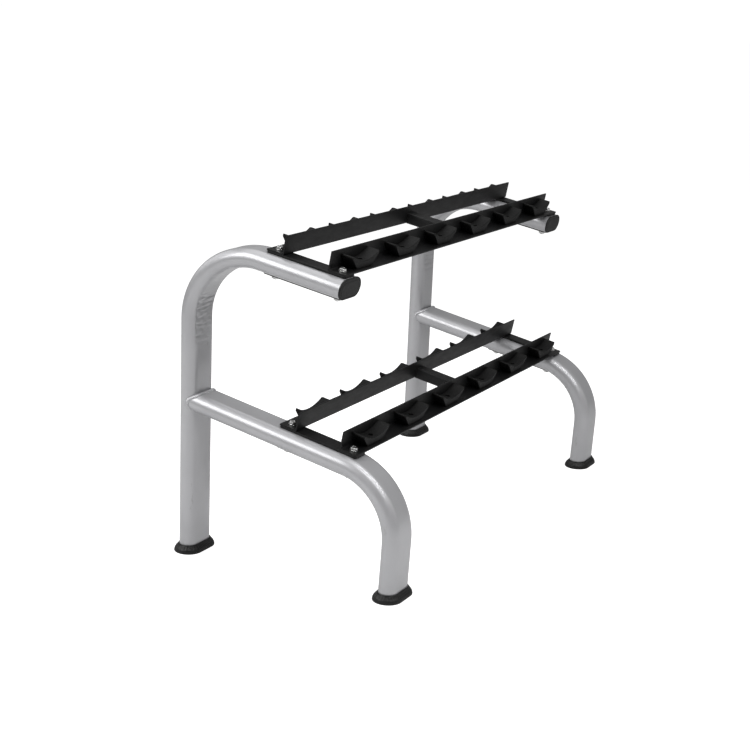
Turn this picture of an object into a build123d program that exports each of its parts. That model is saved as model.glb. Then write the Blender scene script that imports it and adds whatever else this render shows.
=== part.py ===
from build123d import *
import math
import os

# Two-tier dumbbell rack. Millimetres. X runs along the rails, the front faces -Y, +Z is up.
# The origin is on the floor, at the middle of the four feet. Left is -X, seen from the front.

# Side frames: flat oval tube, long axis of the section along X
tube_width = 100.0
tube_depth = 50.0
tube_wall = 3.0
bend_radius = 177.0
frame_spacing = 1272.0
foot_spacing = 600.0
upright_lean = 0.5
leg_lean = 2.5
upper_slope = 10.2
lower_slope = 11.2
upright_corner_height = 841.0
leg_joint_height = 416.5
arm_overrun = 3.0
weld_leg = 4.0
weld_gap = 1.5

# Feet and end caps
foot_flare = 14.0
foot_flange_height = 8.0
foot_flange_taper = 8.0
foot_collar_height = 22.0
foot_collar_rim = 3.0
foot_floor = 6.0
foot_shoulder_round = 12.0
cap_thickness = 5.0
cap_overhang = 1.0
cap_round = 2.5
cap_plug_length = 18.0
cap_plug_wall = 3.0
slip_fit = 0.3

# Tiers: distance of each tier's middle from the bend corner or the leg joint, along the tube
upper_tier_reach = 333.6
lower_tier_reach = 385.1
rail_overhang = 24.0
rail_length = frame_spacing + 2 * rail_overhang
rail_leg = 50.0
rail_thickness = 4.0
rail_root_radius = 4.0
rail_edge_round = 1.0
rail_gap = 127.0
end_plate_width = 50.0
end_plate_thickness = 6.0
end_plate_corner = 5.0
backing_plate_thickness = 4.0
crossbar_width = 40.0
crossbar_height = 30.0
crossbar_wall = 3.0
crossbar_corner = 4.0

# Saddles
saddles_per_rail = 6
saddle_pitch = rail_length / saddles_per_rail
saddle_width = 134.0
saddle_foot_width = 72.0
saddle_depth = 35.0
saddle_height = 35.0
saddle_cup_drop = 17.0
saddle_horn_width = 5.0
saddle_horn_edge = 4.0
saddle_horn_round = 1.2
saddle_corner_round = 6.0
saddle_seat = 5.0
saddle_gap = 0.5

# Fasteners
bolt_size = 10.0
bolt_hole_clearance = 0.5
bolt_head_width = 17.0
bolt_head_height = 6.5
bolt_tail = 2.0
washer_diameter = 21.0
washer_thickness = 2.0
nut_height = 8.0
screw_size = 6.0
screw_head_diameter = 12.0
screw_head_height = 4.0
screw_hole_clearance = 0.3
screw_tail = 3.0
socket_width = 4.0
socket_depth = 2.0

# Places that follow from the sizes above
rear_foot_y = foot_spacing / 2
front_foot_y = -foot_spacing / 2
tier_depth = rail_gap + 2 * rail_leg
bolt_offset = rail_gap / 2 + (rail_leg + rail_thickness) / 2
rail_seat = end_plate_thickness
saddle_base = rail_seat + rail_thickness
saddle_offset = rail_gap / 2 + rail_thickness + saddle_gap + saddle_depth / 2
arm_length = upper_tier_reach + tier_depth / 2 + arm_overrun
washer_inner_radius = bolt_size / 2 + bolt_hole_clearance / 2


def tangent(angle):
    return math.tan(math.radians(angle))


def slope_direction(angle):
    # Forwards and down, at this angle below level
    return Vector(0, -math.cos(math.radians(angle)), -math.sin(math.radians(angle)))


def slope_normal(angle):
    # Square to the sloping tube, upwards
    return Vector(0, -math.sin(math.radians(angle)), math.cos(math.radians(angle)))


def upright_point(height):
    return Vector(0, rear_foot_y - height * tangent(upright_lean), height)


def leg_corner():
    joint = upright_point(leg_joint_height)
    fall = leg_joint_height - tangent(lower_slope) * (joint.Y - front_foot_y)
    height = fall / (1 + tangent(lower_slope) * tangent(leg_lean))
    return Vector(0, front_foot_y - height * tangent(leg_lean), height)


def tier_plane(tier, side=0):
    # On the top flat of the tubes, at the middle of the tier's depth. Local Y runs back and up.
    if tier == "upper":
        start = upright_point(upright_corner_height)
        slope = upper_slope
        reach = upper_tier_reach
    else:
        start = upright_point(leg_joint_height)
        slope = lower_slope
        reach = lower_tier_reach
    origin = start + slope_direction(slope) * reach + slope_normal(slope) * (tube_depth / 2)
    origin = origin + Vector(side * frame_spacing / 2, 0, 0)
    return Plane(origin=origin, x_dir=(1, 0, 0), z_dir=slope_normal(slope))


def oval(growth):
    return SlotOverall(tube_width + 2 * growth, tube_depth + 2 * growth)


def swept_oval(path, growth):
    start = Plane(origin=path @ 0, x_dir=(1, 0, 0), z_dir=path % 0)
    return sweep(start * oval(growth), path=path)


def upright_path():
    direction = upright_point(1) - upright_point(0)
    start = upright_point(0) - direction * tube_depth
    corner = upright_point(upright_corner_height)
    end = corner + slope_direction(upper_slope) * arm_length
    return FilletPolyline(start, corner, end, radius=bend_radius)


def leg_path():
    # Starts just in front of the upright's middle, so that the joint's two points are welded gaps
    start = upright_point(leg_joint_height) + slope_direction(lower_slope) * weld_gap
    corner = leg_corner()
    foot = Vector(0, front_foot_y, 0)
    end = foot + (foot - corner).normalized() * tube_depth
    return FilletPolyline(start, corner, end, radius=bend_radius)


def floor_trim():
    # Everything below the level where the tubes stand in their feet
    size = foot_spacing * 3
    return Pos(0, 0, foot_floor - size / 2) * Box(size, size, size)


def bolt_holes(tier):
    drill = Cylinder((bolt_size + bolt_hole_clearance) / 2, tube_depth * 4)
    plane = tier_plane(tier)
    front = plane * Pos(0, -bolt_offset, 0) * drill
    rear = plane * Pos(0, bolt_offset, 0) * drill
    return front + rear


def upright_tube(side):
    path = upright_path()
    tube = swept_oval(path, 0) - swept_oval(path, -tube_wall)
    tube = tube - floor_trim() - bolt_holes("upper")
    return Pos(side * frame_spacing / 2, 0, 0) * tube


def leg_tube(side):
    # The rear end is coped to the upright, so it closes around the upright's front half
    path = leg_path()
    tube = swept_oval(path, 0) - swept_oval(path, -tube_wall)
    tube = tube - floor_trim() - swept_oval(upright_path(), 0) - bolt_holes("lower")
    return Pos(side * frame_spacing / 2, 0, 0) * tube


def weld_bead(side):
    # Runs all round the cope: what lies within one weld leg of both tubes, and in neither
    upright = upright_path()
    corner = leg_path() @ 0
    leg = Line(corner, corner + slope_direction(lower_slope) * tube_width)
    bead = swept_oval(leg, weld_leg) & swept_oval(upright, weld_leg)
    bead = bead - swept_oval(leg, 0) - swept_oval(upright, 0)
    return Pos(side * frame_spacing / 2, 0, 0) * bead


def foot(side, y, lean):
    # A low flange, then a shoulder that slopes in to a thin rim round the tube
    flange = extrude(oval(foot_flare), amount=foot_flange_height, taper=foot_flange_taper)
    ledge = foot_flare - foot_flange_height * tangent(foot_flange_taper)
    rise = foot_collar_height - foot_flange_height
    shoulder_taper = math.degrees(math.atan((ledge - foot_collar_rim) / rise))
    shoulder = extrude(oval(ledge), amount=rise, taper=shoulder_taper)
    outside = flange + Pos(0, 0, foot_flange_height) * shoulder
    low = foot_flange_height - slip_fit
    high = foot_flange_height + slip_fit
    brow = outside.edges().filter_by_position(Axis.Z, low, high)
    outside = fillet(brow, foot_shoulder_round)
    up = Vector(0, -tangent(lean), 1).normalized()
    pocket_line = Line(-up * foot_collar_height, up * foot_collar_height * 2)
    pocket = swept_oval(pocket_line, slip_fit)
    body = outside - (pocket - floor_trim())
    return Pos(side * frame_spacing / 2, y, 0) * body


def arm_cap(side):
    corner = upright_point(upright_corner_height)
    end = corner + slope_direction(upper_slope) * arm_length
    plane = Plane(origin=end, x_dir=(1, 0, 0), z_dir=slope_direction(upper_slope))
    plate = extrude(oval(cap_overhang), amount=cap_thickness)
    plate = fillet(plate.edges().group_by(Axis.Z)[-1], cap_round)
    plug = extrude(oval(-tube_wall - slip_fit), amount=-cap_plug_length)
    hollow = extrude(oval(-tube_wall - slip_fit - cap_plug_wall), amount=-cap_plug_length)
    cap = plate + (plug - hollow)
    return Pos(side * frame_spacing / 2, 0, 0) * (plane * cap)


def rail(tier, row):
    # row is +1 for the rear rail and -1 for the front rail. The upright leg is on the inner side.
    outline = Polyline(
        (0, 0),
        (rail_leg, 0),
        (rail_leg, rail_thickness),
        (rail_thickness, rail_thickness),
        (rail_thickness, rail_leg),
        (0, rail_leg),
        close=True,
    )
    profile = make_face(outline)
    root = profile.vertices().sort_by_distance((rail_thickness, rail_thickness, 0))[0]
    profile = fillet(root, rail_root_radius)
    heel = profile.vertices().sort_by_distance((0, 0, 0))[0]
    profile = fillet(heel, rail_root_radius)
    tip = profile.vertices().sort_by_distance((rail_leg, rail_thickness, 0))[0]
    profile = fillet(tip, rail_edge_round)
    crest = profile.vertices().sort_by_distance((rail_thickness, rail_leg, 0))[0]
    profile = fillet(crest, rail_edge_round)
    section_plane = Plane(origin=(-rail_length / 2, 0, 0), x_dir=(0, 1, 0), z_dir=(1, 0, 0))
    bar = extrude(section_plane * profile, amount=rail_length)
    bar = Pos(0, rail_gap / 2, rail_seat) * bar
    bolt_drill = Cylinder((bolt_size + bolt_hole_clearance) / 2, rail_leg)
    for side in (-1, 1):
        bar = bar - Pos(side * frame_spacing / 2, bolt_offset, 0) * bolt_drill
    screw_drill = Cylinder((screw_size + screw_hole_clearance) / 2, rail_leg)
    for place in saddle_places():
        bar = bar - Pos(place, saddle_offset, 0) * screw_drill
    if row < 0:
        bar = mirror(bar, about=Plane.XZ)
    return tier_plane(tier) * bar


def crossbar(tier):
    outer = RectangleRounded(crossbar_width, crossbar_height, crossbar_corner)
    inner = RectangleRounded(
        crossbar_width - 2 * crossbar_wall,
        crossbar_height - 2 * crossbar_wall,
        crossbar_corner - crossbar_wall,
    )
    section_plane = Plane(origin=(0, -rail_gap / 2, 0), x_dir=(-1, 0, 0), z_dir=(0, 1, 0))
    bar = extrude(section_plane * (outer - inner), amount=rail_gap)
    return tier_plane(tier) * Pos(0, 0, rail_seat + crossbar_height / 2) * bar


def plate(tier, side, thickness, level):
    outline = Rectangle(end_plate_width, tier_depth)
    outline = chamfer(outline.vertices(), end_plate_corner)
    slab = extrude(outline, amount=thickness)
    drill = Cylinder((bolt_size + bolt_hole_clearance) / 2, tube_depth)
    for row in (-1, 1):
        slab = slab - Pos(0, row * bolt_offset, 0) * drill
    return tier_plane(tier, side) * Pos(0, 0, level) * slab


def end_plate(tier, side):
    return plate(tier, side, end_plate_thickness, 0)


def backing_plate(tier, side):
    # The lower one reaches the start of the leg tube's bend and is shaped to it
    slab = plate(tier, side, backing_plate_thickness, -tube_depth - backing_plate_thickness)
    if tier == "lower":
        slab = slab - Pos(side * frame_spacing / 2, 0, 0) * swept_oval(leg_path(), 0)
    return slab


def saddle_places():
    first = -(saddles_per_rail - 1) / 2 * saddle_pitch
    return [first + index * saddle_pitch for index in range(saddles_per_rail)]


def saddle_shape():
    half = saddle_width / 2
    foot_half = saddle_foot_width / 2
    reach = half - saddle_horn_width
    shoulder = saddle_height - saddle_horn_edge
    sides = Polyline(
        (-reach, saddle_height),
        (-half, saddle_height),
        (-half, shoulder),
        (-foot_half, 0),
        (foot_half, 0),
        (half, shoulder),
        (half, saddle_height),
        (reach, saddle_height),
    )
    middle = (0, saddle_height - saddle_cup_drop)
    cup = ThreePointArc((-reach, saddle_height), middle, (reach, saddle_height))
    profile = make_face([cup, sides])
    for x in (-half, half):
        horn = profile.vertices().sort_by_distance((x, saddle_height, 0))[0]
        profile = fillet(horn, saddle_horn_round)
    section_plane = Plane(origin=(0, -saddle_depth / 2, 0), x_dir=(-1, 0, 0), z_dir=(0, 1, 0))
    body = extrude(section_plane * profile, amount=saddle_depth)
    heel = body.edges().group_by(Axis.Z)[0].sort_by(Axis.Y)[0]
    body = chamfer(heel, rail_root_radius)
    plan = Rectangle(saddle_width, saddle_depth)
    plan = fillet(plan.vertices().group_by(Axis.Y)[-1], saddle_corner_round)
    body = body & extrude(plan, amount=saddle_height)
    seat = Cylinder(
        screw_head_diameter / 2 + 1,
        saddle_height,
        align=(Align.CENTER, Align.CENTER, Align.MIN),
    )
    drill = Cylinder((screw_size + screw_hole_clearance) / 2, saddle_height)
    return body - Pos(0, 0, saddle_seat) * seat - drill


def saddle(tier, row, index):
    # The chamfered heel of each saddle stands in the root of the rail
    body = saddle_shape()
    if row < 0:
        body = mirror(body, about=Plane.XZ)
    place = saddle_places()[index]
    return tier_plane(tier) * Pos(place, row * saddle_offset, saddle_base) * body


def bolt_levels():
    top = saddle_base + washer_thickness
    bottom = -tube_depth - backing_plate_thickness - washer_thickness
    return top, bottom


def for_each_bolt(piece):
    # Two bolts at each end of each tier
    parts = []
    for tier in ("upper", "lower"):
        for side in (-1, 1):
            for row in (-1, 1):
                place = tier_plane(tier, side) * Pos(0, row * bolt_offset, 0)
                parts.append(place * piece)
    return parts


def through_bolts():
    top, bottom = bolt_levels()
    length = top - bottom + nut_height + bolt_tail
    head = extrude(RegularPolygon(bolt_head_width / 2, 6, major_radius=False), amount=bolt_head_height)
    shank = extrude(Circle(bolt_size / 2), amount=-length)
    bolt = Pos(0, 0, top) * (head + shank)
    return for_each_bolt(bolt)


def bolt_washers():
    top, bottom = bolt_levels()
    ring = Circle(washer_diameter / 2) - Circle(washer_inner_radius)
    washer = extrude(ring, amount=washer_thickness)
    upper_set = for_each_bolt(Pos(0, 0, top - washer_thickness) * washer)
    lower_set = for_each_bolt(Pos(0, 0, bottom) * washer)
    return upper_set + lower_set


def bolt_nuts():
    top, bottom = bolt_levels()
    section = RegularPolygon(bolt_head_width / 2, 6, major_radius=False) - Circle(washer_inner_radius)
    nut = extrude(section, amount=-nut_height)
    return for_each_bolt(Pos(0, 0, bottom) * nut)


def saddle_screws():
    head = extrude(Circle(screw_head_diameter / 2), amount=screw_head_height)
    socket = extrude(RegularPolygon(socket_width / 2, 6, major_radius=False), amount=socket_depth)
    head = head - Pos(0, 0, screw_head_height - socket_depth) * socket
    length = saddle_seat + rail_thickness + screw_tail
    shank = extrude(Circle(screw_size / 2), amount=-length)
    screw = head + shank
    parts = []
    for tier in ("upper", "lower"):
        for row in (-1, 1):
            for place in saddle_places():
                spot = Pos(place, row * saddle_offset, saddle_base + saddle_seat)
                parts.append(tier_plane(tier) * spot * screw)
    return parts


def write(name, shape):
    export_step(shape, "parts/" + name + ".step")


os.makedirs("parts", exist_ok=True)

for side_name, side in (("left", -1), ("right", 1)):
    write(side_name + "_upright_tube", upright_tube(side))
    write(side_name + "_leg_tube", leg_tube(side))
    write(side_name + "_weld_bead", weld_bead(side))
    write(side_name + "_arm_cap", arm_cap(side))
    write(side_name + "_rear_foot", foot(side, rear_foot_y, upright_lean))
    write(side_name + "_front_foot", foot(side, front_foot_y, leg_lean))

for tier in ("upper", "lower"):
    write(tier + "_crossbar", crossbar(tier))
    for side_name, side in (("left", -1), ("right", 1)):
        write(tier + "_" + side_name + "_end_plate", end_plate(tier, side))
        write(tier + "_" + side_name + "_backing_plate", backing_plate(tier, side))
    for row_name, row in (("rear", 1), ("front", -1)):
        write(tier + "_" + row_name + "_rail", rail(tier, row))
        for index in range(saddles_per_rail):
            name = tier + "_" + row_name + "_saddle_" + str(index + 1)
            write(name, saddle(tier, row, index))

write("through_bolts", Compound(through_bolts()))
write("bolt_washers", Compound(bolt_washers()))
write("bolt_nuts", Compound(bolt_nuts()))
write("saddle_screws", Compound(saddle_screws()))
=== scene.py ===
import math
import bpy
import numpy as np
from mathutils import Matrix, Vector


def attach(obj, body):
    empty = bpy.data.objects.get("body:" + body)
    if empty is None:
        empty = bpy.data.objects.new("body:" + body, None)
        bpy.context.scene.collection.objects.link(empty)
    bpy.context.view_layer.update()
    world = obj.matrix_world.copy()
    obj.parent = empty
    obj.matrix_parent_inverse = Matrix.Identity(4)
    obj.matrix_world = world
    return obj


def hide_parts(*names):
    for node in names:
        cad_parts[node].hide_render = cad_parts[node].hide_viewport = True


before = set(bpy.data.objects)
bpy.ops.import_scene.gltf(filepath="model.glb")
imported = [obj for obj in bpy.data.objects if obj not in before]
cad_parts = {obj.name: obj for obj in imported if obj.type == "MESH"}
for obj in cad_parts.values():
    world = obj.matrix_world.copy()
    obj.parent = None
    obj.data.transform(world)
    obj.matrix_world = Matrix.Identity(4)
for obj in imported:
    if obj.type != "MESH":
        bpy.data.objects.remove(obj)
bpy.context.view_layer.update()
print("frame loaded:", len(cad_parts), "nodes")

# Metres throughout. x runs along the rails, the front faces -y, z is up.
sideFrame = {
    "tubeWidth": 0.100, "tubeDepth": 0.050, "bendRadius": 0.177,
    "spacing": 1.272, "footSpacing": 0.600,
    "uprightLean": 0.5, "legLean": 2.5, "upperSlope": 10.2, "lowerSlope": 11.2,
    "cornerHeight": 0.841, "jointHeight": 0.4165, "armLength": 0.4501, "tubeFoot": 0.006,
}
tierReach = {"upper": 0.3336, "lower": 0.3851}
layout = {"railGap": 0.127, "railLeg": 0.050, "railThickness": 0.004, "railLength": 1.320,
          "plateThickness": 0.006, "backingThickness": 0.004, "saddleGap": 0.0005}
sides = {"left": -1, "right": 1}
rows = {"rear": 1, "front": -1}
acrossAxis = np.array([1.0, 0.0, 0.0])


def degrees(angle):
    return math.radians(angle)


def smooth(x):
    x = np.clip(x, 0, 1)
    return x * x * (3 - 2 * x)


# A surface from a grid of points. Rows follow one parameter and columns, which close on themselves,
# the other. The first and last rows are closed with one face each. Faces are turned outwards by
# the sign of the volume they enclose.
def gridShell(grid, ringRows=False):
    n, m = grid.shape[:2]
    index = np.arange(n * m).reshape(n, m)
    lower = index if ringRows else index[:-1]
    upper = np.roll(index, -1, 0) if ringRows else index[1:]
    quads = np.stack([lower, np.roll(lower, -1, 1), np.roll(upper, -1, 1), upper], -1).reshape(-1, 4)
    points = grid.reshape(-1, 3)
    a, b, c, d = (points[quads[:, k]] - points.mean(0) for k in range(4))
    volume = (np.cross(a, b) * c).sum() + (np.cross(a, c) * d).sum()
    ends = [] if ringRows else [index[0][::-1], index[-1]]
    for ring in ends:
        ringPoints = points[ring] - points.mean(0)
        volume += (np.cross(ringPoints[1:-1], ringPoints[2:]) * ringPoints[0]).sum()
    faces = quads.tolist() + [ring.tolist() for ring in ends]
    if volume < 0:
        faces = [face[::-1] for face in faces]
    return points, faces


# Several shells in one mesh
def joinShells(shells):
    points, faces, base = [], [], 0
    for shellPoints, shellFaces in shells:
        points.append(shellPoints)
        faces += [[k + base for k in face] for face in shellFaces]
        base += len(shellPoints)
    return np.concatenate(points), faces


def makePiece(name, shell, material, standsFor, sharpAngle=32):
    points, faces = shell
    mesh = bpy.data.meshes.new(name)
    mesh.from_pydata(points.tolist(), [], faces)
    mesh.shade_smooth()
    mesh.set_sharp_from_angle(angle=degrees(sharpAngle))
    mesh.materials.append(material)
    piece = bpy.data.objects.new(name, mesh)
    bpy.context.scene.collection.objects.link(piece)
    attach(piece, "root")
    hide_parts(*standsFor)


# Flat oval outline: two straight flats joined by half circles. Gives the points and their outward
# directions, so that a growth moves each point straight out.
def ovalOutline(width, depth, arcSteps=28, flatSteps=8):
    radius, flat = depth / 2, width / 2 - depth / 2
    turn = np.linspace(-math.pi / 2, math.pi / 2, arcSteps + 1)
    run = np.linspace(-flat, flat, flatSteps + 1)[1:-1]
    right = np.stack([flat + radius * np.cos(turn), radius * np.sin(turn)], -1)
    left = -right
    topRun = np.stack([run[::-1], np.full(len(run), radius)], -1)
    lowRun = -topRun
    points = np.concatenate([right, topRun, left, lowRun])
    outRight = np.stack([np.cos(turn), np.sin(turn)], -1)
    outTop = np.tile([0.0, 1.0], (len(run), 1))
    outward = np.concatenate([outRight, outTop, -outRight, -outTop])
    return points, outward


# Closed outline of a polygon whose corners are rounded, each with its own radius: every corner is
# replaced by an arc that touches both of its sides, with a support point a little before and after.
def roundedOutline(corners, radii, steps=5, support=0.0006):
    corners = np.array(corners, float)
    radii = np.broadcast_to(np.array(radii, float), (len(corners),))
    before, after = np.roll(corners, 1, 0) - corners, np.roll(corners, -1, 0) - corners
    lengthBefore, lengthAfter = np.linalg.norm(before, axis=1), np.linalg.norm(after, axis=1)
    before, after = before / lengthBefore[:, None], after / lengthAfter[:, None]
    half = np.arccos(np.clip((before * after).sum(1), -1, 1)) / 2
    reach = radii / np.tan(half)
    middle = before + after
    centre = corners + middle / np.linalg.norm(middle, axis=1)[:, None] * (radii / np.sin(half))[:, None]
    start, end = corners + before * reach[:, None], corners + after * reach[:, None]
    share = np.linspace(0, 1, steps + 1)
    turn = math.pi - 2 * half
    a, b = (start - centre) / radii[:, None], (end - centre) / radii[:, None]
    first = np.sin((1 - share)[None, :] * turn[:, None]) / np.sin(turn)[:, None]
    second = np.sin(share[None, :] * turn[:, None]) / np.sin(turn)[:, None]
    around = first[..., None] * a[:, None] + second[..., None] * b[:, None]
    arcs = centre[:, None] + radii[:, None, None] * around
    spareBefore = np.minimum(support, (lengthBefore - reach) * 0.3)[:, None]
    spareAfter = np.minimum(support, (lengthAfter - reach) * 0.3)[:, None]
    lead, tail = start + before * spareBefore, end + after * spareAfter
    return np.concatenate([lead[:, None], arcs, tail[:, None]], 1).reshape(-1, 2)


# Moves every point of a closed outline inwards, along the mean of its two sides' normals
def insetOutline(outline, amount):
    ahead, behind = np.roll(outline, -1, 0) - outline, outline - np.roll(outline, 1, 0)
    normal = np.stack([ahead[:, 1], -ahead[:, 0]], -1) / (np.linalg.norm(ahead, axis=1)[:, None] + 1e-12)
    normal2 = np.stack([behind[:, 1], -behind[:, 0]], -1) / (np.linalg.norm(behind, axis=1)[:, None] + 1e-12)
    mean = normal + normal2
    mean /= np.linalg.norm(mean, axis=1)[:, None]
    area = (outline[:, 0] * np.roll(outline[:, 1], -1) - np.roll(outline[:, 0], -1) * outline[:, 1]).sum()
    return outline - mean * amount * np.sign(area)


# A flat outline given a thickness, with its two rims rounded by quarter circles. Rows go from
# the bottom face over the edge to the top face.
def slabGrid(outline, low, high, edge, steps=4):
    turn = np.linspace(0, math.pi / 2, steps + 1)
    fall, rise = edge * (1 - np.sin(turn)), edge * (1 - np.cos(turn))
    inset = np.concatenate([[edge * 1.6], fall, rise, [edge * 1.6]])
    height = np.concatenate([[low], low + rise, high - fall, [high]])
    return np.array([np.column_stack([insetOutline(outline, amount), np.full(len(outline), level)])
                     for amount, level in zip(inset, height)])


def slopeDirection(angle):
    return np.array([0, -math.cos(degrees(angle)), -math.sin(degrees(angle))])


def slopeNormal(angle):
    return np.array([0, -math.sin(degrees(angle)), math.cos(degrees(angle))])


def uprightPoint(height):
    lean = math.tan(degrees(sideFrame["uprightLean"]))
    return np.array([0, sideFrame["footSpacing"] / 2 - height * lean, height])


def legCorner():
    joint = uprightPoint(sideFrame["jointHeight"])
    slope, lean = math.tan(degrees(sideFrame["lowerSlope"])), math.tan(degrees(sideFrame["legLean"]))
    front = -sideFrame["footSpacing"] / 2
    height = (sideFrame["jointHeight"] - slope * (joint[1] - front)) / (1 + slope * lean)
    return np.array([0, front - height * lean, height])


# Point and axes of a tier, on the tubes' top flat: x along the rails, y back and up, z square to the slope
def tierFrame(tier):
    slope = sideFrame["upperSlope"] if tier == "upper" else sideFrame["lowerSlope"]
    start = uprightPoint(sideFrame["cornerHeight"] if tier == "upper" else sideFrame["jointHeight"])
    origin = start + slopeDirection(slope) * tierReach[tier] + slopeNormal(slope) * sideFrame["tubeDepth"] / 2
    axes = np.array([[1, 0, 0], -slopeDirection(slope), slopeNormal(slope)])
    return origin, axes


def placeOnTier(tier, points, x=0.0, y=0.0, z=0.0, turnRow=1):
    origin, axes = tierFrame(tier)
    local = points * np.array([1.0, turnRow, 1.0]) + np.array([x, y, z])
    return origin + local @ axes


def outwardOnly(shell, turned):
    points, faces = shell
    return points, [face[::-1] for face in faces] if turned else faces


def newMaterial(name):
    material = bpy.data.materials.new(name)
    material.use_nodes = True
    nodes, links = material.node_tree.nodes, material.node_tree.links
    return material, nodes, links, nodes["Principled BSDF"]


def noiseNode(nodes, links, where, scale, detail=4, rough=0.5, stretch=None):
    noise = nodes.new("ShaderNodeTexNoise")
    noise.inputs["Scale"].default_value = scale
    noise.inputs["Detail"].default_value = detail
    noise.inputs["Roughness"].default_value = rough
    if stretch:
        mapping = nodes.new("ShaderNodeMapping")
        mapping.inputs["Scale"].default_value = stretch
        links.new(where, mapping.inputs["Vector"])
        where = mapping.outputs["Vector"]
    links.new(where, noise.inputs["Vector"])
    return noise.outputs["Fac"]


def rampNode(nodes, links, source, stops):
    ramp = nodes.new("ShaderNodeValToRGB")
    for element, (position, colour) in zip(ramp.color_ramp.elements, stops):
        element.position, element.color = position, colour
    links.new(source, ramp.inputs["Fac"])
    return ramp.outputs["Color"]


def rangeNode(nodes, links, source, low, high, fromLow=0.3, fromHigh=0.7):
    spread = nodes.new("ShaderNodeMapRange")
    spread.inputs["From Min"].default_value = fromLow
    spread.inputs["From Max"].default_value = fromHigh
    spread.inputs["To Min"].default_value = low
    spread.inputs["To Max"].default_value = high
    links.new(source, spread.inputs["Value"])
    return spread.outputs["Result"]


def mixNode(nodes, links, share, first, second, mode="MIX"):
    mix = nodes.new("ShaderNodeMix")
    mix.data_type = "RGBA"
    mix.blend_type = mode
    for value, socket in ((share, mix.inputs["Factor"]), (first, mix.inputs["A"]), (second, mix.inputs["B"])):
        if isinstance(value, bpy.types.NodeSocket):
            links.new(value, socket)
        else:
            socket.default_value = value
    return mix.outputs["Result"]


def bumpNode(nodes, links, height, strength, distance, under=None):
    bump = nodes.new("ShaderNodeBump")
    bump.inputs["Strength"].default_value = strength
    bump.inputs["Distance"].default_value = distance
    links.new(height, bump.inputs["Height"])
    if under:
        links.new(under, bump.inputs["Normal"])
    return bump.outputs["Normal"]


def grey(value, blue=0.0):
    return (value, value, value * (1 + blue), 1)


# Two greys, mixed by a pattern's middle range
def toneNode(nodes, links, source, dark, light, blue=0.0):
    return rampNode(nodes, links, source, [(0.3, grey(dark, blue)), (0.7, grey(light, blue))])


# Silver powder coat: metal flake under a clear skin, with orange peel, faint clouding and a few rubbed marks
silverLook = {"dark": 0.475, "light": 0.530, "tint": 0.030, "rubbed": 0.40, "metal": 0.50,
              "roughness": (0.34, 0.43), "coat": 0.50, "coatRoughness": 0.08}


def silverCoat():
    material, nodes, links, shader = newMaterial("silverCoat")
    where = nodes.new("ShaderNodeTexCoord").outputs["Object"]
    cloud = noiseNode(nodes, links, where, 7, 3)
    flake = nodes.new("ShaderNodeTexVoronoi")
    flake.inputs["Scale"].default_value = 1600
    links.new(where, flake.inputs["Vector"])
    base = toneNode(nodes, links, cloud, silverLook["dark"], silverLook["light"], silverLook["tint"])
    sparkle = rampNode(nodes, links, flake.outputs["Distance"], [(0.0, grey(0.84)), (0.9, grey(1.10))])
    colour = mixNode(nodes, links, 0.35, base, sparkle, "MULTIPLY")
    rub = noiseNode(nodes, links, where, 38, 6, 0.65, (1, 1, 0.35))
    marks = rampNode(nodes, links, rub, [(0.66, grey(0)), (0.74, grey(1))])
    colour = mixNode(nodes, links, marks, colour, grey(silverLook["rubbed"]))
    links.new(colour, shader.inputs["Base Color"])
    links.new(rangeNode(nodes, links, rub, *silverLook["roughness"]), shader.inputs["Roughness"])
    shader.inputs["Metallic"].default_value = silverLook["metal"]
    shader.inputs["Coat Weight"].default_value = silverLook["coat"]
    shader.inputs["Coat Roughness"].default_value = silverLook["coatRoughness"]
    peel = noiseNode(nodes, links, where, 420, 2)
    wave = noiseNode(nodes, links, where, 60, 2)
    normal = bumpNode(nodes, links, peel, 0.08, 0.0005)
    normal = bumpNode(nodes, links, wave, 0.03, 0.0010, normal)
    links.new(normal, shader.inputs["Normal"])
    return material


# Satin black powder coat: fine pebbled skin, slightly greyer where it is rubbed
blackLook = {"dark": 0.0030, "light": 0.0052, "tint": 0.05, "rubbed": 0.011, "roughness": (0.40, 0.54),
             "specular": 0.32}


def blackCoat():
    material, nodes, links, shader = newMaterial("blackCoat")
    where = nodes.new("ShaderNodeTexCoord").outputs["Object"]
    cloud = noiseNode(nodes, links, where, 12, 4)
    base = toneNode(nodes, links, cloud, blackLook["dark"], blackLook["light"], blackLook["tint"])
    scuff = noiseNode(nodes, links, where, 90, 7, 0.7, (0.25, 1, 1))
    marks = rampNode(nodes, links, scuff, [(0.62, grey(0)), (0.76, grey(1))])
    links.new(mixNode(nodes, links, marks, base, grey(blackLook["rubbed"])), shader.inputs["Base Color"])
    links.new(rangeNode(nodes, links, scuff, *blackLook["roughness"]), shader.inputs["Roughness"])
    shader.inputs["Specular IOR Level"].default_value = blackLook["specular"]
    pebble = noiseNode(nodes, links, where, 1100, 3)
    peel = noiseNode(nodes, links, where, 260, 2)
    normal = bumpNode(nodes, links, pebble, 0.16, 0.0003)
    normal = bumpNode(nodes, links, peel, 0.12, 0.0008, normal)
    links.new(normal, shader.inputs["Normal"])
    return material


# Moulded black plastic: spark-eroded grain, polished a little where dumbbells rub
plasticLook = {"saddle": (0.003, 0.005, 0.011), "cap": (0.012, 0.018, 0.03), "specular": 0.24}


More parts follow.
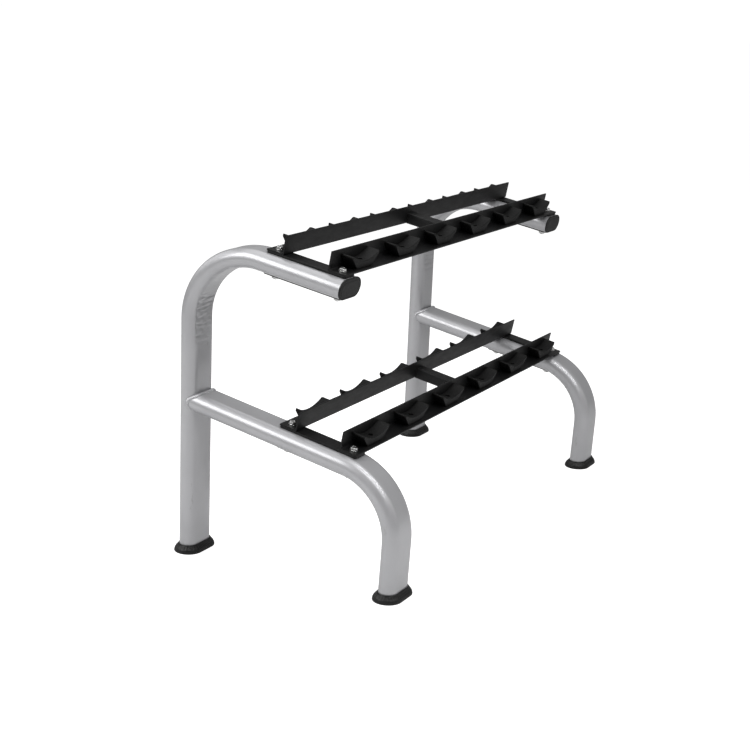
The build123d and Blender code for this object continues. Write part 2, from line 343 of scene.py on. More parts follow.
def mouldedPlastic(name, tones, grain, roughness):
    material, nodes, links, shader = newMaterial(name)
    where = nodes.new("ShaderNodeTexCoord").outputs["Object"]
    cloud = noiseNode(nodes, links, where, 24, 4)
    base = toneNode(nodes, links, cloud, tones[0], tones[1])
    rub = noiseNode(nodes, links, where, 130, 6, 0.7)
    marks = rampNode(nodes, links, rub, [(0.6, grey(0)), (0.78, grey(0.8))])
    links.new(mixNode(nodes, links, marks, base, grey(tones[2])), shader.inputs["Base Color"])
    links.new(rangeNode(nodes, links, rub, *roughness), shader.inputs["Roughness"])
    shader.inputs["Specular IOR Level"].default_value = plasticLook["specular"]
    pits = nodes.new("ShaderNodeTexVoronoi")
    pits.inputs["Scale"].default_value = grain
    links.new(where, pits.inputs["Vector"])
    fine = noiseNode(nodes, links, where, grain * 0.7, 3)
    normal = bumpNode(nodes, links, pits.outputs["Distance"], 0.14, 0.0003)
    normal = bumpNode(nodes, links, fine, 0.18, 0.0003, normal)
    links.new(normal, shader.inputs["Normal"])
    return material


# Black rubber: dull, mottled, a little dust near the floor
rubberLook = {"dark": 0.0025, "light": 0.0055, "dust": 0.035, "dustHeight": 0.012, "dustShare": 0.35,
              "roughness": (0.36, 0.52), "specular": 0.4}


def footRubber():
    material, nodes, links, shader = newMaterial("footRubber")
    where = nodes.new("ShaderNodeTexCoord").outputs["Object"]
    mottle = noiseNode(nodes, links, where, 55, 6, 0.6)
    base = toneNode(nodes, links, mottle, rubberLook["dark"], rubberLook["light"])
    split = nodes.new("ShaderNodeSeparateXYZ")
    links.new(where, split.inputs["Vector"])
    low = rangeNode(nodes, links, split.outputs["Z"], rubberLook["dustShare"], 0.0, 0.0, rubberLook["dustHeight"])
    speck = noiseNode(nodes, links, where, 600, 4, 0.7)
    dust = nodes.new("ShaderNodeMath")
    dust.operation = "MULTIPLY"
    links.new(low, dust.inputs[0])
    links.new(speck, dust.inputs[1])
    colour = mixNode(nodes, links, dust.outputs["Value"], base, grey(rubberLook["dust"]))
    links.new(colour, shader.inputs["Base Color"])
    links.new(rangeNode(nodes, links, mottle, *rubberLook["roughness"]), shader.inputs["Roughness"])
    shader.inputs["Specular IOR Level"].default_value = rubberLook["specular"]
    links.new(bumpNode(nodes, links, speck, 0.2, 0.0004), shader.inputs["Normal"])
    return material


# Plated steel: zinc is bright and slightly streaked, black oxide is dark and oily
def platedSteel(name, dark, light, roughness):
    material, nodes, links, shader = newMaterial(name)
    where = nodes.new("ShaderNodeTexCoord").outputs["Object"]
    cloud = noiseNode(nodes, links, where, 180, 4)
    base = rampNode(nodes, links, cloud, [(0.3, dark), (0.7, light)])
    links.new(base, shader.inputs["Base Color"])
    streak = noiseNode(nodes, links, where, 900, 3, 0.6, (1, 1, 0.1))
    links.new(rangeNode(nodes, links, streak, *roughness), shader.inputs["Roughness"])
    shader.inputs["Metallic"].default_value = 1.0
    links.new(bumpNode(nodes, links, streak, 0.15, 0.0002), shader.inputs["Normal"])
    return material


silver = silverCoat()
black = blackCoat()
saddlePlastic = mouldedPlastic("saddlePlastic", plasticLook["saddle"], 1500, (0.46, 0.62))
capPlastic = mouldedPlastic("capPlastic", plasticLook["cap"], 1300, (0.42, 0.58))
rubber = footRubber()
zinc = platedSteel("boltZinc", (0.62, 0.62, 0.60, 1), (0.82, 0.82, 0.83, 1), (0.18, 0.34))
oxide = platedSteel("screwSteel", (0.030, 0.030, 0.032, 1), (0.07, 0.07, 0.072, 1), (0.3, 0.5))
print("materials ready")


tubeDetail = {"runStep": 0.012, "arcSteps": 72, "fineStep": 0.0012, "fineBefore": 0.075, "fineAfter": 0.13,
              "copeClear": 0.045}


# Centre line of a tube with one bend: a straight run, an arc that touches both runs, a straight run.
# Gives points, directions and the distance along it from the start of the bend. A fine step, if
# given, is used round the start of the bend.
def bentLine(first, corner, last, fine=None):
    radius = sideFrame["bendRadius"]
    into, out = corner - first, last - corner
    intoLength, outLength = np.linalg.norm(into), np.linalg.norm(out)
    into, out = into / intoLength, out / outLength
    turn = math.acos(into @ out)
    reach = radius * math.tan(turn / 2)
    side = out - into * (into @ out)
    side /= np.linalg.norm(side)
    centre = corner - into * reach + side * radius
    bendStart = intoLength - reach
    angle = np.linspace(0, turn, tubeDetail["arcSteps"] + 1)
    runA = np.linspace(0, bendStart, max(3, int(bendStart / tubeDetail["runStep"])))[:-1]
    if fine:
        fineFrom, fineTo = bendStart - tubeDetail["fineBefore"], tubeDetail["fineAfter"] / radius
        runA = np.concatenate([runA[runA < fineFrom], np.arange(fineFrom, bendStart, fine)])
        angle = np.concatenate([np.arange(0, fineTo, fine / radius),
                                np.linspace(fineTo, turn, tubeDetail["arcSteps"])])
    arc = centre - radius * (side * np.cos(angle)[:, None] - into * np.sin(angle)[:, None])
    arcWay = into * np.cos(angle)[:, None] + side * np.sin(angle)[:, None]
    runB = np.linspace(reach, outLength, max(3, int((outLength - reach) / tubeDetail["runStep"])))[1:]
    points = np.concatenate([first + into * runA[:, None], arc, corner + out * runB[:, None]])
    ways = np.concatenate([np.tile(into, (len(runA), 1)), arcWay, np.tile(out, (len(runB), 1))])
    along = np.concatenate([runA - bendStart, angle * radius, runB - reach + turn * radius])
    return points, ways, along


# A flat oval carried along a centre line. Square to the line, x is the long axis of the section and
# the other axis points away from the bend's centre.
def tubeGrid(points, ways, outline):
    normals = np.cross(ways, acrossAxis)
    return points[:, None] + outline[None, :, :1] * acrossAxis + outline[None, :, 1:] * normals[:, None]


ovalPoints, ovalOut = ovalOutline(sideFrame["tubeWidth"], sideFrame["tubeDepth"])
armDirection = slopeDirection(sideFrame["upperSlope"])
armEnd = uprightPoint(sideFrame["cornerHeight"]) + armDirection * sideFrame["armLength"]


# The upright: where its bend starts, the inner flat is pressed in and creased. The pressed patch is
# a plateau that fades out along the line and ends sharply at the rounded sides. Each crease is a
# bell-shaped dent at its own place along the line, bowed and tilted across the flat. Lumps, the
# product of two slow waves, break the creases up. The right frame's bend is smoother.
creases = {"from": -0.060, "to": 0.062, "count": 9, "jitter": 0.0025, "depth": (0.0005, 0.0028),
           "width": (0.0024, 0.0060), "tilt": (-0.16, 0.10), "bow": 0.0035, "bowWidth": 0.03, "flatEdge": 0.86,
           "press": 0.0032, "pressStart": (-0.064, 0.030), "pressEnd": (0.035, 0.080),
           "lumps": 0.0011, "seed": 11, "share": {"left": 1.0, "right": 0.35}}


def uprightGrid(share):
    corner = uprightPoint(sideFrame["cornerHeight"])
    start = uprightPoint(sideFrame["tubeFoot"])
    points, ways, along = bentLine(start, corner, armEnd, tubeDetail["fineStep"])
    grid = tubeGrid(points, ways, ovalPoints)
    normals = np.cross(ways, acrossAxis)
    middle, edge, count = len(points) // 2, creases["flatEdge"], creases["count"]
    centreSide = np.sign(normals[middle] @ (points[0] + points[-1] - 2 * points[middle]))
    inward = np.clip(ovalPoints[:, 1] * centreSide / (sideFrame["tubeDepth"] / 2), 0, 1)
    across = smooth((inward - edge) / (1 - edge))
    chance = np.random.default_rng(creases["seed"])
    spots = np.linspace(creases["from"], creases["to"], count)
    spots = spots + chance.uniform(-creases["jitter"], creases["jitter"], count)
    deep = chance.uniform(*creases["depth"], count)
    wide = chance.uniform(*creases["width"], count)
    tilt = chance.uniform(*creases["tilt"], count)
    side = ovalPoints[:, 0]
    bow = creases["bow"] * (side / creases["bowWidth"]) ** 2
    away = along[:, None, None] - spots - tilt * side[None, :, None] - bow[None, :, None]
    dents = (deep * np.exp(-(away / wide) ** 2)).sum(-1)
    (start, startFade), (end, endFade) = creases["pressStart"], creases["pressEnd"]
    window = smooth((along - start) / startFade) * (1 - smooth((along - end) / endFade))
    lumps = np.sin(along[:, None] * 310 + side * 60) * np.sin(along[:, None] * 140 - side * 170 + 1)
    pressed = (creases["press"] + creases["lumps"] * lumps) * window[:, None]
    depth = share * (pressed + dents) * across[None, :]
    return grid - depth[..., None] * centreSide * normals[:, None]


weldBead = {"height": 0.0030, "width": 0.0052, "drop": 0.0048, "swell": 0.10, "slowSwell": 0.06, "slowPitch": 95,
            "lean": 0.9, "around": 14, "tipGap": 0.0085}


# How far along the leg tube each point of its outline meets the upright: the upright's front is
# flat in the middle and a half circle at each side
def copeLengths(outline):
    tilt = degrees(sideFrame["lowerSlope"] - sideFrame["uprightLean"])
    radius, flat = sideFrame["tubeDepth"] / 2, (sideFrame["tubeWidth"] - sideFrame["tubeDepth"]) / 2
    over = np.clip(np.abs(outline[:, 0]) - flat, 0, radius)
    front = np.maximum(np.sqrt(np.maximum(radius ** 2 - over ** 2, 0)), weldBead["tipGap"])
    return (front + outline[:, 1] * math.sin(tilt)) / math.cos(tilt)


# The leg tube: its first ring lies on the upright, its last one is level inside the foot
def legGrid():
    joint, corner = uprightPoint(sideFrame["jointHeight"]), legCorner()
    foot = np.array([0, -sideFrame["footSpacing"] / 2, 0.0])
    way = (corner - foot) / np.linalg.norm(corner - foot)
    points, ways, along = bentLine(joint, corner, foot + way * (sideFrame["tubeFoot"] / way[2]))
    clear = np.linalg.norm(points - joint, axis=1) > tubeDetail["copeClear"]
    points, ways = points[clear], ways[clear]
    grid = tubeGrid(points, ways, ovalPoints)
    direction = slopeDirection(sideFrame["lowerSlope"])
    normal = np.cross(direction, acrossAxis)
    flip = 1.0 if normal[2] > 0 else -1.0
    lengths = copeLengths(ovalPoints * np.array([1.0, flip]))
    first = joint + acrossAxis * ovalPoints[:, :1] + ovalPoints[:, 1:] * normal + lengths[:, None] * direction
    last = grid[-1].copy()
    last += (sideFrame["tubeFoot"] - last[:, 2:]) / ways[-1][2] * ways[-1]
    return np.concatenate([first[None], grid[:-1], last[None]])


# The weld: a flattened bead carried along the cope, its thickness swelling and shrinking once per
# drop, with each drop leaning back over the one before
def weldGrid():
    fineOval, fineOut = ovalOutline(sideFrame["tubeWidth"], sideFrame["tubeDepth"], 130, 80)
    joint, direction = uprightPoint(sideFrame["jointHeight"]), slopeDirection(sideFrame["lowerSlope"])
    normal = slopeNormal(sideFrame["lowerSlope"])
    lengths = copeLengths(fineOval)
    curve = joint + acrossAxis * fineOval[:, :1] + fineOval[:, 1:] * normal + lengths[:, None] * direction
    out = acrossAxis * fineOut[:, :1] + fineOut[:, 1:] * normal
    ahead = np.roll(curve, -1, 0) - np.roll(curve, 1, 0)
    ahead = np.roll(ahead, 2, 0) + ahead + np.roll(ahead, -2, 0)
    ahead -= (ahead * out).sum(1)[:, None] * out
    ahead /= np.linalg.norm(ahead, axis=1)[:, None]
    other = np.cross(ahead, out)
    step = np.linalg.norm(np.roll(curve, -1, 0) - curve, axis=1)
    travelled = np.cumsum(step) - step[0]
    drops = round(step.sum() / weldBead["drop"])
    turn = np.linspace(0, 2 * math.pi, weldBead["around"], endpoint=False)
    phase = travelled[:, None] / step.sum() * drops * 2 * math.pi + weldBead["lean"] * np.cos(turn)[None, :]
    slow = 1 + weldBead["slowSwell"] * np.sin(travelled * weldBead["slowPitch"])
    swell = (1 + weldBead["swell"] * np.sin(phase)) * slow[:, None]
    high, wide = weldBead["height"] * swell * np.cos(turn), weldBead["width"] * swell * np.sin(turn)
    return curve[:, None] + high[..., None] * out[:, None] + wide[..., None] * other[:, None]


# A foot: oval rings stacked by a profile of growth and height. From the sole it goes up a low
# flange with a groove round it, over a crowned shoulder to a thin rim, then down the pocket.
# Fine ribs run up the shoulder: a cosine along the outline, faded out at the flange and the rim.
# The rings above the flange move over with the tube's lean.
footProfile = {"growth": 0.014, "rim": 0.022, "ribPitch": 0.0052, "ribDepth": 0.0012}


def footGrid(y, lean):
    g, top = footProfile["growth"], footProfile["rim"]
    fineOval, fineOut = ovalOutline(sideFrame["tubeWidth"], sideFrame["tubeDepth"], 90, 60)
    profile = np.array([
        (-0.012, 0.0000), (0.0060, 0.0000), (0.0118, 0.0000), (0.0130, 0.0003), (0.0137, 0.0009), (g, 0.0018),
        (g - 0.0001, 0.0030), (0.0133, 0.0034), (0.0132, 0.0041), (g - 0.0004, 0.0045), (g - 0.0005, 0.0060),
        (g - 0.0008, 0.0070), (0.0128, 0.0078), (0.0119, 0.0081), (0.0118, 0.0086), (0.0122, 0.0091), (0.0121, 0.0098),
        (0.0115, 0.0108), (0.0108, 0.0119), (0.0100, 0.0130), (0.0091, 0.0141), (0.0082, 0.0153), (0.0072, 0.0165),
        (0.0062, 0.0177), (0.0052, 0.0189), (0.0046, 0.0196), (0.0040, 0.0199), (0.0036, 0.0206), (0.0033, 0.0214),
        (0.0028, top - 0.0001), (0.0020, top), (0.0012, top - 0.0003), (0.0006, top - 0.0012), (0.0003, 0.0190),
        (0.0003, 0.0080), (-0.0100, 0.0080)])
    height = profile[:, 1]
    row = np.arange(len(profile))
    onShoulder = (row >= 17) & (row <= 24)
    step = np.linalg.norm(np.roll(fineOval, -1, 0) - fineOval, axis=1)
    ribs = round(step.sum() / footProfile["ribPitch"])
    wave = np.cos((np.cumsum(step) - step[0]) / step.sum() * ribs * 2 * math.pi)
    fade = onShoulder * np.sin(np.clip((height - 0.0098) / 0.0098, 0, 1) * math.pi)
    sink = footProfile["ribDepth"] * fade[:, None] * (0.5 - 0.5 * wave)
    lift = smooth((height - 0.009) / 0.011)
    shift = np.where(row >= 14, -np.tan(degrees(lean)) * height * lift, 0)
    ring = fineOval[None] + (profile[:, :1] - sink)[..., None] * fineOut[None]
    grid = np.empty(ring.shape[:2] + (3,))
    grid[..., 0] = ring[..., 0]
    grid[..., 1] = ring[..., 1] + y + shift[:, None]
    grid[..., 2] = profile[:, 1:]
    return grid


# The arm's end cap: a rim rounded over its edge, a shallow groove inside it and a slightly crowned
# face, closed towards its middle. Growth is outwards from the tube, rise is along the arm.
capProfile = {"overhang": 0.001, "rise": 0.005, "groove": 0.0006}


def capGrid():
    over, rise, groove = capProfile["overhang"], capProfile["rise"], capProfile["groove"]
    profile = np.array([
        (-0.0033, -0.0200), (-0.0033, 0.0), (over - 0.0002, 0.0), (over, 0.0002), (over, 0.0012), (over, rise - 0.0024),
        (over - 0.0004, rise - 0.0012), (over - 0.0012, rise - 0.0004), (over - 0.0022, rise), (over - 0.0040, rise),
        (over - 0.0052, rise - 0.0001), (over - 0.0058, rise - groove), (over - 0.0066, rise - groove),
        (over - 0.0074, rise - 0.0001), (-0.0100, rise), (-0.0140, rise), (-0.0190, rise), (-0.0235, rise)])
    normal = np.cross(armDirection, acrossAxis)
    ring = ovalPoints[None] + profile[:, :1, None] * ovalOut[None]
    return armEnd + ring[..., :1] * acrossAxis + ring[..., 1:] * normal + profile[:, None, 1:] * armDirection


footPlace = sideFrame["footSpacing"] / 2
for sideName, side in sides.items():
    offset = acrossAxis * side * sideFrame["spacing"] / 2
    framePieces = {
        "upright_tube": (uprightGrid(creases["share"][sideName]), silver, "silver_coat"),
        "leg_tube": (legGrid(), silver, "silver_coat"),
        "arm_cap": (capGrid(), capPlastic, "cap_plastic"),
        "rear_foot": (footGrid(footPlace, sideFrame["uprightLean"]), rubber, "foot_rubber"),
        "front_foot": (footGrid(-footPlace, sideFrame["legLean"]), rubber, "foot_rubber")}
    for part, (grid, material, slotName) in framePieces.items():
        node = sideName + "_" + part
        makePiece(node + "_skin", gridShell(grid + offset), material, [node])
    node = sideName + "_weld_bead"
    makePiece(node + "_skin", gridShell(weldGrid() + offset, True), silver, [node], 75)
print("side frames ready")


steelWork = {"edge": 0.0011, "rootRadius": 0.004, "railRim": 0.0005, "railSteps": 24,
             "plateWidth": 0.050, "plateCorner": 0.005, "plateRound": 0.0015, "plateEdge": 0.0009,
             "barWidth": 0.040, "barHeight": 0.030, "barCorner": 0.004, "barSteps": 12}
tierDepth = layout["railGap"] + 2 * layout["railLeg"]
boltOffset = layout["railGap"] / 2 + (layout["railLeg"] + layout["railThickness"]) / 2


# Rail: the outline of an angle, rounded at its root, heel and tips, carried along x with rounded rims
def railShell(tier, row):
    leg, thick = layout["railLeg"], layout["railThickness"]
    edge, root = steelWork["edge"], steelWork["rootRadius"]
    corners = [(0, 0), (leg, 0), (leg, thick), (thick, thick), (thick, leg), (0, leg)]
    outline = roundedOutline(corners, [root, edge, edge, root, edge, edge])
    grid = slabGrid(outline, -layout["railLength"] / 2, layout["railLength"] / 2, steelWork["railRim"])
    stations = np.linspace(0, 1, steelWork["railSteps"] + 1)[1:-1]
    middle = len(grid) // 2
    share = stations[:, None, None]
    body = grid[middle - 1] * (1 - share) + grid[middle] * share
    grid = np.concatenate([grid[:middle], body, grid[middle:]])
    back, rise = (grid[..., 0] + layout["railGap"] / 2) * row, grid[..., 1] + layout["plateThickness"]
    return gridShell(placeOnTier(tier, np.stack([grid[..., 2], back, rise], -1)))


# Plate: a rectangle with cut corners and softened rims
def plateShell(tier, side, low, high):
    half, long, cut = steelWork["plateWidth"] / 2, tierDepth / 2, steelWork["plateCorner"]
    corners = [(half, -long + cut), (half, long - cut), (half - cut, long), (-half + cut, long),
               (-half, long - cut), (-half, -long + cut), (-half + cut, -long), (half - cut, -long)]
    grid = slabGrid(roundedOutline(corners, steelWork["plateRound"], 3), low, high, steelWork["plateEdge"])
    return gridShell(placeOnTier(tier, grid, x=side * sideFrame["spacing"] / 2))


# Crossbar: a rounded rectangle carried from rail to rail
def crossbarShell(tier):
    half, high, gap = steelWork["barWidth"] / 2, steelWork["barHeight"] / 2, layout["railGap"] / 2
    corners = [(-half, -high), (half, -high), (half, high), (-half, high)]
    outline = roundedOutline(corners, steelWork["barCorner"], 7)
    stations = np.linspace(-gap, gap, steelWork["barSteps"] + 1)
    points = np.empty((len(stations), len(outline), 3))
    points[..., 0] = outline[None, :, 0]
    points[..., 1] = stations[:, None]
    points[..., 2] = outline[None, :, 1] + layout["plateThickness"] + high
    return gridShell(placeOnTier(tier, points))


def blackPiece(node, shell):
    makePiece(node + "_skin", shell, black, [node])


backingTop = -sideFrame["tubeDepth"]
backingLow = backingTop - layout["backingThickness"]
for tier in tierReach:
    for rowName, row in rows.items():
        blackPiece(tier + "_" + rowName + "_rail", railShell(tier, row))
    blackPiece(tier + "_crossbar", crossbarShell(tier))
    for sideName, side in sides.items():
        node = tier + "_" + sideName
        blackPiece(node + "_end_plate", plateShell(tier, side, 0.0, layout["plateThickness"]))
        blackPiece(node + "_backing_plate", plateShell(tier, side, backingLow, backingTop))
print("rails and plates ready")


saddleShape = {"count": 6, "width": 0.134, "footWidth": 0.072, "depth": 0.035, "height": 0.035, "drop": 0.017,
               "horn": 0.005, "hornEdge": 0.004, "round": 0.0016, "tipRound": 0.0014, "planRound": 0.006,
               "heel": 0.004, "seat": 0.005, "seatRadius": 0.007}


# How far an arc that starts level has left its start line at each distance
def quarterCut(distance, radius):
    return radius - np.sqrt(np.maximum(radius ** 2 - np.maximum(distance, 0) ** 2, 0))


# Saddle: stations run from horn to horn. At each one the section is a rounded rectangle, as deep as
# the saddle, between the underside (flat, then rising to the horns) and the top (the cradle's arc,
# then the flat horn tops). The inner lower corner is cut larger where it stands in the rail's root.
def saddleGrid():
    s = saddleShape
    half, foot, reach = s["width"] / 2, s["footWidth"] / 2, s["width"] / 2 - s["horn"]
    arcRadius = (reach ** 2 + s["drop"] ** 2) / (2 * s["drop"])
    x = np.concatenate([
        -half + np.array([0, 0.0002, 0.0006, 0.0012, 0.002]), np.linspace(-half + 0.0028, -reach - 0.0008, 5),
        -reach + np.array([-0.0003, 0.0004, 0.0012]), np.linspace(-reach + 0.003, -foot - 0.001, 10),
        [-foot - 0.0003, -foot + 0.0003], np.linspace(-foot + 0.002, 0, 16)])
    x = np.concatenate([x, -x[:-1][::-1]])
    away = np.abs(x)
    cradle = s["height"] - s["drop"] + quarterCut(away, arcRadius)
    top = np.where(away < reach, cradle, s["height"])
    low = np.clip((away - foot) / (half - foot), 0, 1) * (s["height"] - s["hornEdge"])
    tipCut = quarterCut(away - (half - s["tipRound"]), s["tipRound"])
    top, low = top - tipCut, low + tipCut * 0.4
    deep = s["depth"] / 2 - tipCut * 0.6
    plan = quarterCut(away - (half - s["planRound"]), s["planRound"])
    free = np.maximum(s["depth"] / 2 - np.maximum(plan, tipCut * 0.6), 0.004)
    tall = top - low
    r = np.minimum(s["round"], tall * 0.42)
    heel = np.where(low < s["heel"], np.maximum(s["heel"] - low, r), r)
    heel = np.minimum(heel, tall * 0.45)
    turn = np.linspace(0, math.pi / 2, 5)
    shape = []
    for start, size, centreY, centreZ in ((2, heel, heel - deep, low + heel), (3, r, free - r, low + r),
                                          (0, r, free - r, top - r), (1, r, r - deep, top - r)):
        angle = start * math.pi / 2 + turn
        centre = np.stack([centreY, centreZ], -1)[:, None]
        shape.append(centre + size[:, None, None] * np.stack([np.cos(angle), np.sin(angle)], -1))
    share = np.array([0.06, 0.3, 0.5, 0.7, 0.94])[None, :, None]
    parts = []
    for k in range(4):
        a, b = shape[k][:, -1:], shape[(k + 1) % 4][:, :1]
        parts += [shape[k], a * (1 - share) + b * share]
    sections = np.concatenate(parts, 1)
    grid = np.empty(sections.shape[:2] + (3,))
    grid[..., 0] = x[:, None]
    grid[..., 1:] = sections
    return grid


# Round shapes for cutting and for the fasteners: radius and height profiles turned about z
def turnedGrid(profile, steps=32):
    angle = np.linspace(0, 2 * math.pi, steps, endpoint=False)
    profile = np.array(profile, float)
    ring = profile[:, :1, None] * np.stack([np.cos(angle), np.sin(angle)], -1)[None]
    return np.concatenate([ring, np.broadcast_to(profile[:, 1:, None], ring.shape[:2] + (1,))], -1)


def plainObject(name, shell):
    mesh = bpy.data.meshes.new(name)
    mesh.from_pydata(shell[0].tolist(), [], shell[1])
    thing = bpy.data.objects.new(name, mesh)
    bpy.context.scene.collection.objects.link(thing)
    return thing


# The screw's seat is cut from the finished saddle surface once, and every saddle is a copy of that
def cutSaddle():
    body = plainObject("saddleBody", gridShell(saddleGrid()))
    r, seat, rim = saddleShape["seatRadius"], saddleShape["seat"], saddleShape["height"] - saddleShape["drop"]
    profile = [(r - 0.0006, seat), (r, seat + 0.0008), (r, rim - 0.0006), (r + 0.0012, rim + 0.0010),
               (r + 0.0012, rim + 0.02)]
    tool = plainObject("seatCutter", gridShell(turnedGrid(profile, 40)))
    cut = body.modifiers.new("seat", "BOOLEAN")
    cut.operation, cut.object, cut.solver = "DIFFERENCE", tool, "EXACT"
    graph = bpy.context.evaluated_depsgraph_get()
    mesh = bpy.data.meshes.new_from_object(body.evaluated_get(graph))
    points = np.empty(len(mesh.vertices) * 3)
    mesh.vertices.foreach_get("co", points)
    faces = [list(face.vertices) for face in mesh.polygons]
    bpy.data.objects.remove(body)
    bpy.data.objects.remove(tool)
    return points.reshape(-1, 3), faces


saddleMesh = cutSaddle()
pitch = layout["railLength"] / saddleShape["count"]
places = (np.arange(saddleShape["count"]) - (saddleShape["count"] - 1) / 2) * pitch
saddleOffset = (layout["railGap"] + saddleShape["depth"]) / 2 + layout["railThickness"] + layout["saddleGap"]
saddleBase = layout["plateThickness"] + layout["railThickness"]
for tier in tierReach:
    for rowName, row in rows.items():
        for k, place in enumerate(places):
            points = placeOnTier(tier, saddleMesh[0], place, row * saddleOffset, saddleBase, row)
            shell = outwardOnly((points, saddleMesh[1]), row < 0)
            node = tier + "_" + rowName + "_saddle_" + str(k + 1)
            makePiece(node + "_skin", shell, saddlePlastic, [node])
print("saddles ready")


fasteners = {"size": 0.010, "headWidth": 0.017, "headHeight": 0.0065, "tail": 0.002, "threadLength": 0.0135,
             "threadPitch": 0.0015, "washer": 0.021, "washerHole": 0.0112, "washerThickness": 0.002, "nut": 0.008,
             "screwHead": 0.012, "screwHeadHeight": 0.004, "screwSize": 0.006, "screwTail": 0.003,
             "screwThread": 0.008, "screwPitch": 0.001, "socket": 0.004}


# Hexagonal head or nut: the radius is the smaller of the hexagon's, which swings between its flats
# and corners, and that of the chamfer cone at that height
def hexGrid(width, profile, steps=48):
    angle = np.linspace(0, 2 * math.pi, steps, endpoint=False)
    hexagon = width / 2 / np.cos((angle + math.pi / 6) % (math.pi / 3) - math.pi / 6)
    profile = np.array(profile, float)
    radius = np.minimum(hexagon[None, :], profile[:, :1])
    height = np.broadcast_to(profile[:, 1:], radius.shape)
    return np.stack([radius * np.cos(angle), radius * np.sin(angle), height], -1)


# Profile of a thread from its lower end up: the radius swings once for each pitch
def threadProfile(radius, swing, pitch, start, length, step):
    return [(radius + swing * math.cos(2 * math.pi * t / pitch), start + t) for t in np.arange(0, length, step)]


def boltShells():
    f = fasteners
    w, h, r = f["headWidth"] / 2, f["headHeight"], f["size"] / 2
    corner = w / math.cos(math.pi / 6)
    head = hexGrid(f["headWidth"], [
        (w * 0.96, 0), (corner, 0.0004), (corner, h - 0.0016), (corner * 0.965, h - 0.0009), (w * 0.99, h - 0.0003),
        (w * 0.9, h), (w * 0.6, h), (w * 0.58, h - 0.0003), (w * 0.3, h - 0.0003)])
    end = backingLow - 2 * f["washerThickness"] - f["nut"] - f["tail"] - saddleBase
    thread = threadProfile(r - 0.00045, 0.0004, f["threadPitch"], end + 0.0006, f["threadLength"], 0.0003)
    tip, neck = [(r - 0.0012, end), (r - 0.0007, end + 0.0005)], [(r, end + 0.0150), (r, -0.0002)]
    return [gridShell(head), gridShell(turnedGrid(tip + thread + neck, 32))]


def washerShells():
    thick, outer, hole = fasteners["washerThickness"], fasteners["washer"] / 2, fasteners["washerHole"] / 2
    return [gridShell(turnedGrid([
        (hole, 0.0), (outer - 0.0003, 0.0), (outer, 0.0003), (outer, thick - 0.0004), (outer - 0.0005, thick),
        (hole, thick)], 40))]


def nutShells():
    w, t = fasteners["headWidth"] / 2, fasteners["nut"]
    corner = w / math.cos(math.pi / 6)
    return [gridShell(hexGrid(fasteners["headWidth"], [
        (w * 0.62, -t + 0.0005), (w * 0.7, -t), (w * 0.93, -t), (w * 0.99, -t + 0.0004), (corner * 0.97, -t + 0.0010),
        (corner, -t + 0.0017), (corner, -0.0017), (corner * 0.97, -0.0010), (w * 0.97, -0.0003), (w * 0.92, 0)]))]


def screwShells():
    f = fasteners
    r, h, s = f["screwHead"] / 2, f["screwHeadHeight"], f["socket"] / 2
    cap = turnedGrid([
        (r - 0.0002, 0), (r, 0.0003), (r, h - 0.0013), (r - 0.0004, h - 0.0006), (r - 0.0012, h - 0.0001),
        (r - 0.0020, h), (s + 0.0006, h)], 32)
    head = np.concatenate([cap, hexGrid(f["socket"], [(1, h - 0.0001), (1, h - 0.0018)], 32)])
    end = -saddleShape["seat"] - layout["railThickness"] - f["screwTail"]
    q = f["screwSize"] / 2
    thread = threadProfile(q - 0.0003, 0.00026, f["screwPitch"], end + 0.0005, f["screwThread"], 0.0002)
    tip = [(q - 0.0009, end), (q - 0.0005, end + 0.0004)]
    return [gridShell(head), gridShell(turnedGrid(tip + thread + [(q, 0.0002)], 20))]


def manyShells(shells, spots):
    out = []
    for tier, x, y, z in spots:
        out += [(placeOnTier(tier, points, x, y, z), faces) for points, faces in shells]
    return joinShells(out)


# Washers lie under the heads, on the rails, and above the nuts, under the backing plates
boltTop = saddleBase + fasteners["washerThickness"]
boltLow = backingLow - fasteners["washerThickness"]
boltPlaces = [(tier, side * sideFrame["spacing"] / 2, row * boltOffset)
              for tier in tierReach for side in sides.values() for row in rows.values()]
headSpots, nutSpots = ([place + (level,) for place in boltPlaces] for level in (boltTop, boltLow))
washerSpots = [place + (level,) for place in boltPlaces for level in (saddleBase, boltLow)]
screwSpots = [(tier, place, row * saddleOffset, saddleBase + saddleShape["seat"])
              for tier in tierReach for row in rows.values() for place in places]
for node, shells, spots in (("through_bolts", boltShells(), headSpots), ("bolt_washers", washerShells(), washerSpots),
                            ("bolt_nuts", nutShells(), nutSpots)):
    makePiece(node + "_skin", manyShells(shells, spots), zinc, [node])
makePiece("saddle_screws_skin", manyShells(screwShells(), screwSpots), oxide, ["saddle_screws"])
print("fasteners ready")


studio = {"floorSize": 90.0, "floorTone": 0.80, "floorGlow": 0.80, "world": 0.26, "backdrop": 1.05,
          "sensor": 36.0, "lens": 71.63}
# Each light: its place, the point it faces, its size and its power
lights = {
    "keyLight": ((-3.2, 1.9, 2.9), (0, 0, 0.4), (2.2, 2.2), 76.0),
    "strip1": ((-1.5, -1.8, 2.7), (-1.5, -1.0, 0), (0.17, 2.6), 24.0),
    "strip2": ((-0.28, -1.8, 2.7), (-0.28, -1.0, 0), (0.17, 2.6), 24.0),
    "topLight": ((0.0, 0.6, 3.4), (0, 0, 0.4), (3.2, 2.4), 22.8),
    "backLight": ((-0.6, 3.2, 2.3), (0, 0, 0.7), (2.6, 2.0), 16.0),
    "fillLight": ((1.5, -4.0, 1.8), (0, 0, 0.4), (2.5, 2.5), 7.0)}


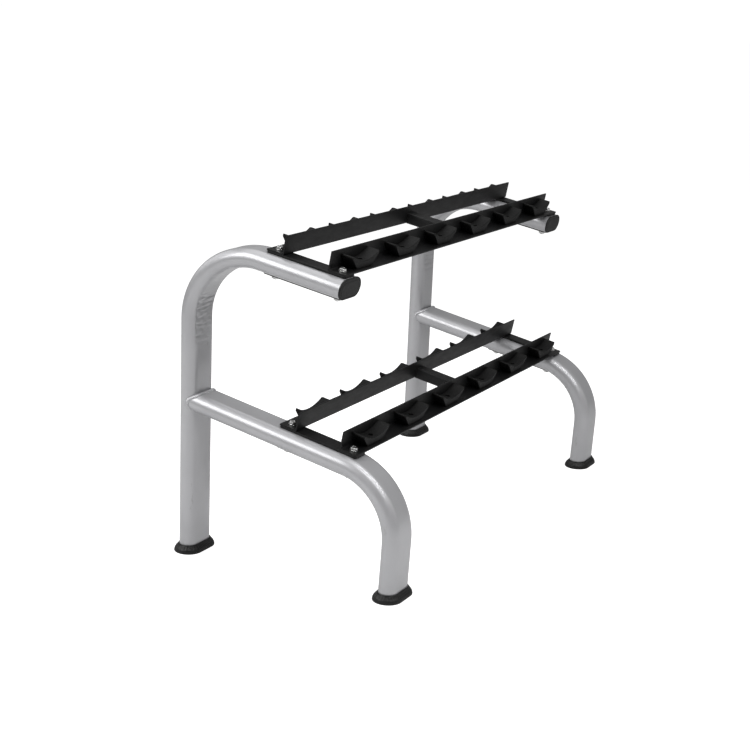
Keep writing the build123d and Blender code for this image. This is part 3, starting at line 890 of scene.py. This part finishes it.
def areaLight(name, place, target, size, power):
    data = bpy.data.lights.new(name, "AREA")
    data.shape = "RECTANGLE"
    data.size, data.size_y = size
    data.energy = power
    lamp = bpy.data.objects.new(name, data)
    lamp.location = place
    lamp.rotation_euler = (Vector(target) - Vector(place)).to_track_quat("-Z", "Y").to_euler()
    bpy.context.scene.collection.objects.link(lamp)


# A strength that differs between what the camera sees straight and what lights the object
def seenByCamera(nodes, links, socket, lighting, seen):
    spread = nodes.new("ShaderNodeMapRange")
    spread.inputs["To Min"].default_value = lighting
    spread.inputs["To Max"].default_value = seen
    links.new(nodes.new("ShaderNodeLightPath").outputs["Is Camera Ray"], spread.inputs["Value"])
    links.new(spread.outputs["Result"], socket)


floorMesh = bpy.data.meshes.new("studioFloor")
half = studio["floorSize"] / 2
floorCorners = [(-half, -half, 0), (half, -half, 0), (half, half, 0), (-half, half, 0)]
floorMesh.from_pydata(floorCorners, [], [(0, 1, 2, 3)])
floor = bpy.data.objects.new("studioFloor", floorMesh)
floor.location.z = -0.0002
bpy.context.scene.collection.objects.link(floor)
paper, paperNodes, paperLinks, paperShader = newMaterial("studioPaper")
paperShader.inputs["Base Color"].default_value = grey(studio["floorTone"])
paperShader.inputs["Roughness"].default_value = 0.9
paperShader.inputs["Specular IOR Level"].default_value = 0.1
paperShader.inputs["Emission Color"].default_value = grey(1)
seenByCamera(paperNodes, paperLinks, paperShader.inputs["Emission Strength"], 0.0, studio["floorGlow"])
floorMesh.materials.append(paper)

world = bpy.data.worlds.new("studioWorld")
bpy.context.scene.world = world
world.use_nodes = True
worldNodes, worldLinks = world.node_tree.nodes, world.node_tree.links
backdrop = worldNodes["Background"]
backdrop.inputs["Color"].default_value = grey(1)
seenByCamera(worldNodes, worldLinks, backdrop.inputs["Strength"], studio["world"], studio["backdrop"])

for name, settings in lights.items():
    areaLight(name, *settings)

cameraData = bpy.data.cameras.new("studioCamera")
cameraData.sensor_width = studio["sensor"]
cameraData.lens = studio["lens"]
cameraData.clip_end = 100.0
camera = bpy.data.objects.new("studioCamera", cameraData)
right, up, back = (0.48319, -0.87486, 0.03379), (0.20819, 0.15230, 0.96616), (-0.85040, -0.45981, 0.25573)
camera.matrix_world = Matrix((
    (right[0], up[0], back[0], -3.6962),
    (right[1], up[1], back[1], -1.8843),
    (right[2], up[2], back[2], 1.4782),
    (0, 0, 0, 1)))
bpy.context.scene.collection.objects.link(camera)
bpy.context.scene.camera = camera
bpy.context.scene.view_settings.view_transform = "Standard"
print("studio ready")
